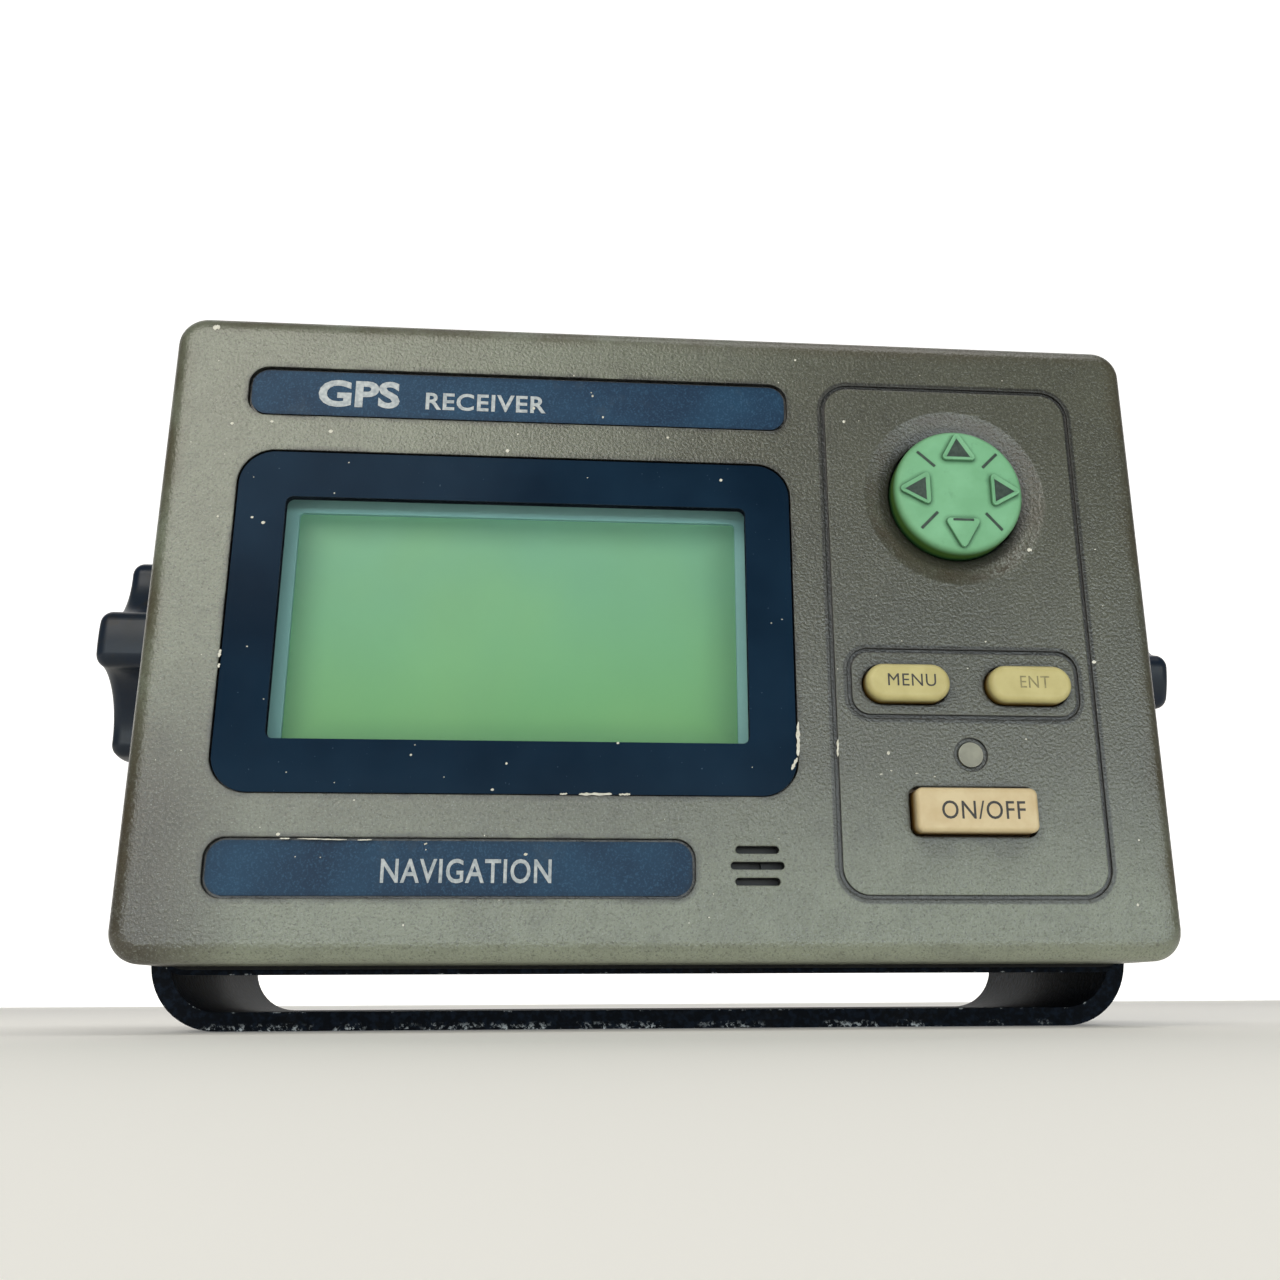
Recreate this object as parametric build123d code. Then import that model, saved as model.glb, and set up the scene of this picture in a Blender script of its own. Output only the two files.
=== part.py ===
from build123d import *
import os
from math import cos, radians, sin

# Bracket-mounted GPS receiver with a monochrome display.
# Millimetres. Origin: centre of the bracket base, on its underside.
# +X is to the right as the user reads the display, +Z is up, and the display looks along -Y.

# ---- driving dimensions -------------------------------------------------
face_w = 166.6          # front bezel, across
face_h = 107.4          # front bezel, up
face_lift = 0.6         # middle of the bezel's outline above the middle of the face
bezel_depth = 13.0      # front bezel, front to back
bezel_wall = 2.6
face_plate = 3.0
bezel_corner_r = 5.0
bezel_edge_r = 3.0

base_front = 25.0       # depth of the bracket's front edge behind the face
bracket_w = 66.0        # width of the bracket strip at its base, front to back
strip_t = 3.0
leg_gap = 160.2         # between the two legs of the bracket
bracket_bend_r = 11.4
leg_top_r = 20.0

case_w = 157.4          # rear case, across
case_bottom = -53.0     # rear case, relative to the middle of the face
case_top = 52.6
case_wall = 2.6
case_back = 72.0        # depth of the rear case's back face
case_corner_r = 5.0
flange_w = 158.8
flange_bottom = -54.4
flange_top = 53.2
flange_t = 2.8
gasket_t = 1.5

pivot_depth = 50.5      # clamp knobs' axis, behind the face
pivot_up = 5.2          # clamp knobs' axis, above the middle of the face

knob_r = 19.5
knob_lobes = 4
knob_outer_x = 101.2    # outer face of each knob
knob_w = 15.1
knob_turn = {"left": 0.0, "right": 16.0}
stud_r = 3.0
running_gap = 0.06      # radial clearance of the stud in its threaded insert
washer_t = 1.6

control_x = 50.1        # middle of the keys and the lamp, across
pad_x = 50.5
pad_z = 24.5
pad_r = 11.2
pad_top = -3.5          # depth of the pad's crown, in front of the face
key_row_z = -9.1
key_spread = 10.25
key_w = 14.0
key_h = 6.2
key_top = -2.6
power_x = 49.8
power_z = -29.9
power_w = 19.9
power_h = 7.1
power_top = -2.8
key_gap = 0.3
power_gap = 0.5
lamp_z = -20.6
lamp_r = 2.05
rim_front = 3.1         # retaining rim behind each key
rim_back = 3.9
key_travel = 1.2
mat_front = rim_back + key_travel + 0.1
mat_back = mat_front + 1.4
mat_w = 41.0
mat_h = 80.0
keypad_board_t = 1.6
pivot_in_pad = 2.2      # depth of the direction pad's two rocking axes

lens_w = 91.8
lens_h = 56.8
lens_mid = (-24.5, 0.85)
lens_r = 6.0
lens_t = 1.5
window_w = 76.4
window_h = 40.5
window_mid = (-24.35, 1.1)

lcd_w = 74.15
lcd_h = 40.7
lcd_mid = (-24.3, 0.35)
lcd_depth = 6.3

# recesses of the two label plates: middle x, middle z, width, height
upper_label = (-24.35, 40.22, 91.8, 8.95)
lower_label = (-32.6, -39.05, 74.9, 9.2)
label_margin = 0.45

# ---- places worked out from them ------------------------------------------
base_mid_depth = base_front + bracket_w / 2
face_z = strip_t + 60.1                      # height of the middle of the face
pivot_y = pivot_depth - base_mid_depth
pivot_z = face_z + pivot_up
leg_inner_x = leg_gap / 2
leg_outer_x = leg_inner_x + strip_t
gasket_back = bezel_depth + gasket_t
flange_back = gasket_back + flange_t

case_mid_z = (case_top + case_bottom) / 2
case_h = case_top - case_bottom

os.makedirs("parts", exist_ok=True)


# ---- helpers ----------------------------------------------------------------
def save(node, *solids):
    """Write one sub-part, a single solid or a group of separate ones."""
    shape = solids[0] if len(solids) == 1 else Compound(children=list(solids))
    export_step(shape, "parts/" + node + ".step")


def face_prism(sketch, front, back):
    """Extrude a sketch drawn on the face (x across, y up from its middle) between two depths."""
    solid = extrude(Plane.XZ * sketch, amount=back - front)
    return Pos(0, back - base_mid_depth, face_z) * solid


def rounded(mid_x, mid_z, width, height, radius):
    return Pos(mid_x, mid_z) * RectangleRounded(width, height, radius)


def block(mid_x, mid_z, width, height, front, back):
    return face_prism(Pos(mid_x, mid_z) * Rectangle(width, height), front, back)


def disc(mid_x, mid_z, radius, front, back):
    return face_prism(Pos(mid_x, mid_z) * Circle(radius), front, back)


def across(radius, x_from, x_to, y=pivot_y, z=pivot_z):
    """A round bar along X between two stations, on the knobs' axis unless told otherwise."""
    start = min(x_from, x_to)
    bar = extrude(Plane.YZ * Circle(radius), amount=abs(x_to - x_from))
    return Pos(start, y, z) * bar


def groove(mid_x, mid_z, width, height, radius, line=0.7, depth=0.5):
    """The narrow moulded line that frames a group of controls."""
    outer = rounded(mid_x, mid_z, width, height, radius)
    inner = rounded(mid_x, mid_z, width - 2 * line, height - 2 * line, radius - line)
    return face_prism(outer - inner, 0, depth)


def front_edges(solid):
    """Edges of a solid that lie in its most forward plane."""
    return solid.edges().group_by(Axis.Y)[0]


def corner_places(half_x, half_z, mid_x=0.0, mid_z=0.0):
    return [(mid_x + sx * half_x, mid_z + sz * half_z) for sx in (-1, 1) for sz in (-1, 1)]


# ---- front bezel ----------------------------------------------------------------
case_screw_places = corner_places(71.5, 45.5)
board_screw_places = corner_places(60.0, 36.0)
display_screw_places = corner_places(43.5, 32.0, -23.5, 0.5)
keypad_screw_places = corner_places(18.0, 37.5, control_x, 0.5)
slot_rows = ((-36.1, 6.9), (-38.55, 8.5), (-41.0, 7.1))
slot_x = 14.6
slot_h = 1.2


def front_bezel():
    body = face_prism(rounded(0, face_lift, face_w, face_h, bezel_corner_r), 0, bezel_depth)
    body = fillet(front_edges(body), bezel_edge_r)
    inner = rounded(0, face_lift, face_w - 2 * bezel_wall, face_h - 2 * bezel_wall, bezel_corner_r - 2)
    body -= face_prism(inner, face_plate, bezel_depth + 1)
    # recesses for the lens and the two label plates
    body -= face_prism(rounded(*lens_mid, lens_w + 0.5, lens_h + 0.5, lens_r), -1, 2.2)
    for mid_x, mid_z, width, height in (upper_label, lower_label):
        body -= face_prism(rounded(mid_x, mid_z, width, height, 3.2), -1, 1.1)
    body -= face_prism(rounded(*window_mid, window_w + 2.4, window_h + 2.4, 2), 0, face_plate + 1)
    # moulded lines round the control panel and the key pair
    body -= groove(49.75, 0.65, 44.5, 88.7, 5.0)
    body -= groove(49.8, -8.85, 39.2, 11.8, 3.6)
    # shallow dish round the direction pad, then the openings for the controls
    ball_r = 72.0
    dish_depth = 1.8
    ball_y = dish_depth - ball_r - base_mid_depth
    body -= Pos(pad_x, ball_y, face_z + pad_z) * Sphere(ball_r)
    body -= disc(pad_x, pad_z, pad_r + 0.35, -1, face_plate + 1)
    for side in (-1, 1):
        hole = rounded(control_x + side * key_spread, key_row_z, key_w + 2 * key_gap,
                       key_h + 2 * key_gap, key_h / 2 + key_gap - 0.05)
        body -= face_prism(hole, -1, face_plate + 1)
    hole = rounded(power_x, power_z, power_w + 2 * power_gap, power_h + 2 * power_gap, 1.6)
    body -= face_prism(hole, -1, face_plate + 1)
    body -= disc(control_x, lamp_z, lamp_r + 0.1, -1, face_plate + 1)
    body -= disc(control_x, lamp_z, 2.78, -1, 0.45)
    for slot_z, slot_w in slot_rows:
        body -= face_prism(rounded(slot_x, slot_z, slot_w, slot_h, slot_h / 2 - 0.02), -1, face_plate + 1)
    # screw bosses for the rear case, joined to the face plate
    for x, z in case_screw_places:
        boss = disc(x, z, 3.6, face_plate - 0.5, bezel_depth)
        body += boss
        body -= disc(x, z, 1.5, 5.0, bezel_depth + 1)
    # short posts for the keypad board
    for x, z in keypad_screw_places:
        body += disc(x, z, 2.2, face_plate - 0.5, mat_back)
        body -= disc(x, z, 0.9, 3.4, mat_back + 1)
    return body


save("front_bezel", front_bezel())


# ---- lens, mask and label plates --------------------------------------------------
def label_plate(place):
    mid_x, mid_z, width, height = place
    plate = rounded(mid_x, mid_z, width - 2 * label_margin, height - 2 * label_margin, 2.8)
    return face_prism(plate, 0.5, 1.1)


def frame_sheet(outer_w, outer_h, outer_r, inner_w, inner_h, front, back):
    outer = rounded(*lens_mid, outer_w, outer_h, outer_r)
    inner = rounded(*window_mid, inner_w, inner_h, 1.2)
    return face_prism(outer - inner, front, back)


save("upper_label", label_plate(upper_label))
save("lower_label", label_plate(lower_label))
save("display_lens", face_prism(rounded(*lens_mid, lens_w, lens_h, lens_r - 0.25), 0.35, 0.35 + lens_t))
save("lens_mask", frame_sheet(lens_w, lens_h, lens_r - 0.25, window_w, window_h, 1.85, 1.98))
tape_hole = (window_w + 2.8, window_h + 2.8)
save("lens_adhesive", frame_sheet(lens_w - 1, lens_h - 1, lens_r - 0.75, *tape_hole, 1.98, 2.2))


# ---- display module -------------------------------------------------------------------
module_mid = (-23.5, 0.5)
module_w = 93.0
module_h = 70.0


def lcd_frame():
    frame = block(*module_mid, 86.0, 52.0, lcd_depth, 14.0)
    frame -= block(*module_mid, 84.4, 50.4, lcd_depth + 0.8, 15.0)
    frame -= face_prism(rounded(*lcd_mid, lcd_w, lcd_h, 0.8), lcd_depth - 1, lcd_depth + 1)
    return frame


def lcd_board():
    board = block(*module_mid, module_w, module_h, 14.0, 15.6)
    for x, z in display_screw_places:
        board -= disc(x, z, 1.3, 13, 17)
    return board


def display_spacer(x, z):
    """Threaded pillar between the bezel's face plate and the display board."""
    return disc(x, z, 2.4, face_plate, 14.0) - disc(x, z, 1.1, 8.0, 15.0)


def pan_screw(x, z, seat, tip, head_r=2.2, shank_r=1.05):
    """Small slotted pan-head screw whose head sits behind a board."""
    head = disc(x, z, head_r, seat, seat + 1.5)
    head -= block(x, z, 2 * head_r, 0.6, seat + 0.8, seat + 2)
    return head + disc(x, z, shank_r, tip, seat)


save("lcd_frame", lcd_frame())
save("lcd_glass", block(*module_mid, 84.0, 50.0, lcd_depth + 0.8, lcd_depth + 3.0))
save("lcd_backlight", block(*module_mid, 84.0, 50.0, lcd_depth + 3.0, 14.0))
save("lcd_board", lcd_board())
save("display_spacers", *[display_spacer(x, z) for x, z in display_screw_places])
save("display_screws", *[pan_screw(x, z, 15.6, 9.0) for x, z in display_screw_places])


# ---- keypad: cover keys, pad, rubber mat and its board --------------------------------


def key_cap(mid_x, mid_z, width, height, radius, crown, edge_r):
    """A key that stands through the face, with a retaining rim behind it."""
    cap = face_prism(rounded(mid_x, mid_z, width, height, radius), crown, rim_back)
    cap = fillet(front_edges(cap), edge_r)
    rim = face_prism(rounded(mid_x, mid_z, width + 2.4, height + 2.4, radius + 0.5), rim_front, rim_back)
    return cap + rim


def keypad_mat():
    mat = block(control_x, 0.5, mat_w, mat_h, mat_front, mat_back)
    mat -= disc(control_x, lamp_z, 2.6, mat_front - 1, mat_back + 1)
    mat -= disc(pad_x, pad_z, 6.0, mat_front - 1, mat_back + 1)
    for x, z in keypad_screw_places:
        mat -= disc(x, z, 2.5, mat_front - 1, mat_back + 1)
    return mat


def keypad_board():
    board = block(control_x, 0.5, mat_w, mat_h, mat_back, mat_back + keypad_board_t)
    for x, z in keypad_screw_places:
        board -= disc(x, z, 1.1, mat_back - 1, mat_back + 3)
    return board


stadium_r = key_h / 2 - 0.02
save("menu_key", key_cap(control_x - key_spread, key_row_z, key_w, key_h, stadium_r, key_top, 1.1))
save("enter_key", key_cap(control_x + key_spread, key_row_z, key_w, key_h, stadium_r, key_top, 1.1))
save("power_key", key_cap(power_x, power_z, power_w, power_h, 1.2, power_top, 0.8))
save("keypad_mat", keypad_mat())
save("keypad_board", keypad_board())
screw_seat = mat_back + keypad_board_t
save("keypad_screws", *[pan_screw(x, z, screw_seat, 4.0, 2.0, 0.85) for x, z in keypad_screw_places])


def pad_axis_bar(axis, radius, half_length):
    """A round bar through the middle of the pad, along X or along Z."""
    plane = Plane.YZ if axis == "x" else Plane.XY
    bar = extrude(plane * Circle(radius), amount=half_length, both=True)
    return Pos(pad_x, pivot_in_pad - base_mid_depth, face_z + pad_z) * bar


def direction_pad():
    """Round, slightly crowned rocker disc; two lugs in its hollow back hold the rocker's X pins."""
    pad = disc(pad_x, pad_z, pad_r, -2.6, 2.6)
    pad = fillet(front_edges(pad), 1.0)
    dome_r = 70.0
    dome_mid_y = pad_top + dome_r - base_mid_depth
    dome = Pos(pad_x, dome_mid_y, face_z + pad_z) * Sphere(dome_r)
    pad += disc(pad_x, pad_z, pad_r - 1.0, pad_top - 0.5, -2.6) & dome
    pad -= disc(pad_x, pad_z, 6.6, 0.4, 3.0)
    for side in (-1, 1):
        pad += block(pad_x + side * 5.4, pad_z, 1.4, 3.6, 0.0, 3.4)
    return pad - pad_axis_bar("x", 0.76, 7.0)


def pad_rocker():
    """Cross piece with four pins: the pad tips on its X pins, and it tips on its Z pins."""
    cross = block(pad_x, pad_z, 8.6, 2.6, 1.3, 3.1)
    cross += block(pad_x, pad_z, 2.6, 7.2, 1.3, 3.1)
    return cross + pad_axis_bar("x", 0.7, 5.8) + pad_axis_bar("z", 0.7, 5.0)


def pad_socket():
    """Fixed yoke behind the pad: a disc on the keypad board with two lugs for the Z pins."""
    socket = disc(pad_x, pad_z, 5.7, mat_front, mat_back)
    for side in (-1, 1):
        socket += block(pad_x, pad_z + side * 4.6, 3.4, 1.4, 1.2, mat_front)
    return socket - pad_axis_bar("z", 0.76, 7.0)


save("direction_pad", direction_pad())
save("pad_rocker", pad_rocker())
save("pad_socket", pad_socket())


# ---- status lamp and sounder ----------------------------------------------------------
save("status_lamp", disc(control_x, lamp_z, lamp_r, 0.1, 4.0) + disc(control_x, lamp_z, 2.55, 3.05, 4.2))
led_base = block(control_x, lamp_z, 3.2, 2.4, 6.0, mat_back)
save("status_led", disc(control_x, lamp_z, 1.5, 4.4, mat_back) + led_base)
save("sounder", disc(slot_x, -38.5, 5.4, face_plate + 0.2, 9.5) - disc(slot_x, -38.5, 1.0, 3.0, 4.2))


# ---- rear case and gasket ---------------------------------------------------------------
flange_mid_z = (flange_bottom + flange_top) / 2
flange_h = flange_top - flange_bottom
inner_w = case_w - 2 * case_wall
inner_h = case_h - 2 * case_wall
connector_z = -22.0
antenna_x = 48.0
power_socket_x = -42.0


def case_gasket():
    outer = rounded(0, flange_mid_z, flange_w - 1.6, flange_h - 1.6, 4.2)
    inner = rounded(0, case_mid_z, inner_w - 1, inner_h - 1, 3.0)
    gasket = face_prism(outer - inner, bezel_depth, gasket_back)
    for x, z in case_screw_places:
        gasket -= disc(x, z, 3.9, bezel_depth - 1, gasket_back + 1)
    return gasket


def rear_case():
    body = face_prism(rounded(0, case_mid_z, case_w, case_h, case_corner_r), gasket_back, case_back)
    body = fillet(body.edges().group_by(Axis.Y)[-1], 4.0)
    flange = rounded(0, flange_mid_z, flange_w, flange_h, 4.6)
    body += face_prism(flange, gasket_back, flange_back)
    hollow = rounded(0, case_mid_z, inner_w, inner_h, case_corner_r - 2.2)
    body -= face_prism(hollow, gasket_back - 1, case_back - case_wall)
    for x, z in case_screw_places:
        body += disc(x, z, 4.0, gasket_back, case_back - 1)
        body -= disc(x, z, 1.9, gasket_back - 1, case_back + 1)
        body -= disc(x, z, 3.6, case_back - 8.0, case_back + 1)
    for x, z in board_screw_places:
        body += disc(x, z, 3.2, 52.0, case_back - 1)
        body -= disc(x, z, 1.25, 51.0, 62.0)
    for side in (-1, 1):
        # boss that backs each threaded insert
        outer_x = side * case_w / 2
        body += across(9.0, side * (case_w / 2 - 12.0), side * (case_w / 2 - 1.0))
        body -= across(5.0, side * (case_w / 2 - 11.0), outer_x + side)
    # cooling fins on the back, between the connectors
    for k in range(5):
        body += block(-12.0 + 8.0 * k + 0.5, 26.0, 2.0, 30.0, case_back - 1, case_back + 3.0)
    # mounting holes of the two sockets
    body -= disc(antenna_x, connector_z, 5.6, case_back - 5, case_back + 1)
    body -= disc(power_socket_x, connector_z, 8.0, case_back - 5, case_back + 1)
    return body


save("case_gasket", case_gasket())
save("rear_case", rear_case())


def case_screw(x, z):
    """Pan-head screw from the back of the case into a bezel boss."""
    head = disc(x, z, 3.0, case_back - 8.0, case_back - 5.6)
    head -= block(x, z, 3.4, 0.8, case_back - 6.4, case_back - 5)
    head -= block(x, z, 0.8, 3.4, case_back - 6.4, case_back - 5)
    return head + disc(x, z, 1.45, 6.0, case_back - 8.0)


save("case_screws", *[case_screw(x, z) for x, z in case_screw_places])
save("rating_plate", face_prism(rounded(-47.0, 24.0, 46.0, 26.0, 2.0), case_back, case_back + 0.5))


# ---- main board and what it carries -----------------------------------------------------
board_front = 50.4
board_back = 52.0


def main_board():
    board = block(0, 0, 130.0, 84.0, board_front, board_back)
    for x, z in board_screw_places:
        board -= disc(x, z, 1.6, board_front - 1, board_back + 1)
    return board


def board_screw(x, z):
    head = disc(x, z, 2.6, board_front - 2.0, board_front)
    head -= block(x, z, 3.0, 0.7, board_front - 2.5, board_front - 1.1)
    return head + disc(x, z, 1.2, board_front, 60.0)


def board_chips():
    chips = []
    for x, z, width, height, thick in ((-22, 12, 20, 20, 2.4), (8, 16, 18, 12, 2.6), (8, -8, 18, 12, 2.6),
                                       (-44, -14, 12, 8, 2.2), (-20, -22, 14, 6, 2.0)):
        chips.append(block(x, z, width, height, board_front - thick, board_front))
    return chips


def receiver_can():
    can = block(42.0, 6.0, 26.0, 34.0, board_front - 8.0, board_front)
    can = fillet(can.edges().filter_by(Axis.Y), 1.2)
    can -= block(42.0, 6.0, 24.8, 32.8, board_front - 7.4, board_front + 1)
    return can


def board_headers():
    """Plug headers that carry the ribbons to the display and the keypad."""
    lcd_header = block(-40.0, 30.0, 26.0, 5.0, board_front - 8.5, board_front)
    key_header = block(38.0, 32.0, 14.0, 5.0, board_front - 8.5, board_front)
    return lcd_header, key_header


def ribbon_cable(x, z, width, front, back):
    """Flat ribbon that rises straight from a header to the board in front of it."""
    return block(x, z, width, 1.0, front, back)


save("main_board", main_board())
save("board_screws", *[board_screw(x, z) for x, z in board_screw_places])
save("board_chips", *board_chips())
save("receiver_can", receiver_can())
save("board_headers", *board_headers())
save("display_ribbon", ribbon_cable(-40.0, 30.0, 24.0, 15.6, board_front - 8.5))
save("keypad_ribbon", ribbon_cable(38.0, 32.0, 12.0, mat_back + keypad_board_t, board_front - 8.5))
save("backup_battery", face_prism(Pos(-50.0, 12.0) * Circle(10.0), board_front - 5.4, board_front))


# ---- sockets on the back ---------------------------------------------------------------
def antenna_socket():
    """Threaded coaxial socket: flanged barrel with a coupling shell and a hollow mouth."""
    socket = disc(antenna_x, connector_z, 5.5, case_back - 8.0, case_back + 4.0)
    socket += disc(antenna_x, connector_z, 7.5, case_back, case_back + 1.6)
    socket += disc(antenna_x, connector_z, 4.8, case_back + 4.0, case_back + 13.0)
    socket -= disc(antenna_x, connector_z, 4.05, case_back + 4.0, case_back + 14.0)
    return socket


def antenna_core():
    core = disc(antenna_x, connector_z, 2.4, case_back + 4.0, case_back + 12.0)
    return core - disc(antenna_x, connector_z, 0.7, case_back + 8.0, case_back + 13.0)


def hex_nut(mid_x, mid_z, flat_r, hole_r, front, back):
    outline = Pos(mid_x, mid_z) * RegularPolygon(flat_r, 6, major_radius=False)
    return face_prism(outline, front, back) - disc(mid_x, mid_z, hole_r, front - 1, back + 1)


def power_socket():
    socket = disc(power_socket_x, connector_z, 7.9, case_back - 8.0, case_back + 1.0)
    socket += disc(power_socket_x, connector_z, 10.5, case_back, case_back + 1.8)
    socket += disc(power_socket_x, connector_z, 7.4, case_back + 1.8, case_back + 10.0)
    socket -= disc(power_socket_x, connector_z, 6.2, case_back - 4.0, case_back + 11.0)
    return socket


def power_insert():
    insert = disc(power_socket_x, connector_z, 6.15, case_back - 4.0, case_back + 9.0)
    for x, z in corner_places(2.3, 2.3, power_socket_x, connector_z):
        insert -= disc(x, z, 0.9, case_back + 1.0, case_back + 10.0)
    insert -= block(power_socket_x, connector_z + 5.6, 2.0, 1.6, case_back + 3.0, case_back + 10.0)
    return insert


def power_pin(x, z):
    return disc(x, z, 0.6, case_back + 1.0, case_back + 8.0)


save("antenna_socket", antenna_socket())
save("antenna_core", antenna_core())
wall_inside = case_back - case_wall
save("antenna_nut", hex_nut(antenna_x, connector_z, 8.0, 5.55, wall_inside - 2.4, wall_inside))
save("power_socket", power_socket())
save("power_insert", power_insert())
save("power_pins", *[power_pin(x, z) for x, z in corner_places(2.3, 2.3, power_socket_x, connector_z)])
save("power_nut", hex_nut(power_socket_x, connector_z, 10.5, 7.95, wall_inside - 2.6, wall_inside))


# ---- bracket ------------------------------------------------------------------------------
base_hole_r = 2.75
base_hole_x = 60.0
base_hole_y = 18.0


def bracket():
    """U-shaped strip: flat base, two bent-up legs that taper to a round top at the knobs."""
    half = bracket_w / 2
    leg_top = pivot_z + leg_top_r
    outer = Rectangle(2 * leg_outer_x, leg_top, align=(Align.CENTER, Align.MIN))
    outer = fillet(outer.vertices().group_by(Axis.Y)[0], bracket_bend_r)
    inner = Pos(0, strip_t) * Rectangle(leg_gap, leg_top, align=(Align.CENTER, Align.MIN))
    inner = fillet(inner.vertices().group_by(Axis.Y)[0], bracket_bend_r - strip_t)
    strip = Pos(0, half, 0) * extrude(Plane.XZ * (outer - inner), amount=bracket_w)
    # side outline of the legs, cut across the whole strip
    shoulder = 26.0
    corner_r = leg_top_r
    side = Polyline((-half, 0), (-half, shoulder), (pivot_y - corner_r, pivot_z),
                    (pivot_y - corner_r, leg_top), (pivot_y + corner_r, leg_top),
                    (pivot_y + corner_r, pivot_z), (half, shoulder), (half, 0), close=True)
    side = make_face(side)
    side = fillet(side.vertices().group_by(Axis.Y)[-1], corner_r - 0.05)
    legs = Pos(-leg_outer_x - 1, 0, 0) * extrude(Plane.YZ * side, amount=2 * leg_outer_x + 2)
    strip = strip & legs
    # clearance holes for the clamp studs and the four base screws
    strip -= across(stud_r + 0.4, -leg_outer_x - 1, leg_outer_x + 1)
    for x in (-base_hole_x, base_hole_x):
        for y in (-base_hole_y, base_hole_y):
            strip -= Pos(x, y, 0) * extrude(Circle(base_hole_r), amount=strip_t + 1)
    return strip


save("bracket", bracket())


# ---- clamp knobs, one each side --------------------------------------------------------------
def knob_outline(turn):
    """Round disc with a scallop between each pair of lobes."""
    outline = Circle(knob_r)
    scallop_mid = knob_r + 3.5
    scallop_r = 11.0
    for k in range(knob_lobes):
        angle = radians(180 + turn + (k + 0.5) * 360 / knob_lobes)
        outline -= Pos(scallop_mid * cos(angle), scallop_mid * sin(angle)) * Circle(scallop_r)
    rim = outline.vertices()
    return fillet(rim, 2.6)


def knob(side, turn):
    """Moulded star knob; its hub presses on the clamp washer."""
    outer_x = knob_outer_x
    inner_x = outer_x - knob_w
    body = extrude(Plane.YZ * knob_outline(turn), amount=knob_w)
    body = fillet(body.faces().sort_by(Axis.X)[-1].edges(), 2.2)
    body = Pos(inner_x, pivot_y, pivot_z) * body
    body += across(8.0, leg_outer_x + washer_t, inner_x + 0.5)
    body -= across(9.0, outer_x - 1.6, outer_x + 1) - across(7.6, outer_x - 2, outer_x + 1)
    body -= across(stud_r, leg_outer_x, outer_x - 5.0)
    return body if side > 0 else mirror(body, about=Plane.YZ)


def knob_stud(side):
    """Steel stud moulded into the knob and screwed into the case insert."""
    tip_x = case_w / 2 - 9.0
    stud = across(stud_r - running_gap, tip_x, leg_outer_x + 1)
    stud += across(stud_r, leg_outer_x + 1, knob_outer_x - 5.0)
    stud = chamfer(stud.edges().sort_by(Axis.X)[0], 0.8)
    return stud if side > 0 else mirror(stud, about=Plane.YZ)


def ring(side, outer_r, hole_r, x_from, x_to):
    body = across(outer_r, side * x_from, side * x_to)
    return body - across(hole_r, side * (x_from - 1), side * (x_to + 1))


def case_insert(side):
    return ring(side, 5.0, stud_r, case_w / 2 - 11.0, case_w / 2)


for name, side in (("left", -1), ("right", 1)):
    save(name + "_knob", knob(side, knob_turn[name]))
    save(name + "_knob_stud", knob_stud(side))
    save(name + "_clamp_washer", ring(side, 9.0, stud_r + 0.3, leg_outer_x, leg_outer_x + washer_t))
    save(name + "_friction_washer", ring(side, 13.0, stud_r + 0.4, case_w / 2, leg_inner_x))
save("case_inserts", case_insert(-1), case_insert(1))
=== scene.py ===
import bpy
import bmesh
import math
import random
from mathutils import Matrix, Vector


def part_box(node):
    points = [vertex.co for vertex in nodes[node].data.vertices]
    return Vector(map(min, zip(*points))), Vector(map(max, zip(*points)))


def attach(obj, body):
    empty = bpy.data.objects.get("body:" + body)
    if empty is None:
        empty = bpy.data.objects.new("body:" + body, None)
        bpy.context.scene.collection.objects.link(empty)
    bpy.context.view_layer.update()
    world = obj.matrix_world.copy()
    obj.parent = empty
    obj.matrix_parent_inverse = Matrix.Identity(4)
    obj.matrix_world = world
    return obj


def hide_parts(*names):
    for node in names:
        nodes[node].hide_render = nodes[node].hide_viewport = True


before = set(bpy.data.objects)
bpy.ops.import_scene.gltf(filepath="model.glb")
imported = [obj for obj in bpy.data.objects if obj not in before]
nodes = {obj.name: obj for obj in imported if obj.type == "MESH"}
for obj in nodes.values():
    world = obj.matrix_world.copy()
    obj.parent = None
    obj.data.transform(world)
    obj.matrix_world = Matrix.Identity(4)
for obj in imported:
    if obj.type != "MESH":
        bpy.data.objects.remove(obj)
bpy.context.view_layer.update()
mm = 0.001
print("frame loaded,", len(nodes), "nodes")

# the face of the unit, from the frame: its front plane and the middle of its outline
bezelLow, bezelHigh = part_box("front_bezel")
faceY = bezelLow.y
faceMid = Vector(((bezelLow.x + bezelHigh.x) / 2, 0, (bezelLow.z + bezelHigh.z) / 2))
faceSize = (bezelHigh.x - bezelLow.x, bezelHigh.z - bezelLow.z)


def middle(node):
    low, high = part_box(node)
    return (low + high) / 2


def size(node):
    low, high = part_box(node)
    return high - low


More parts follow.
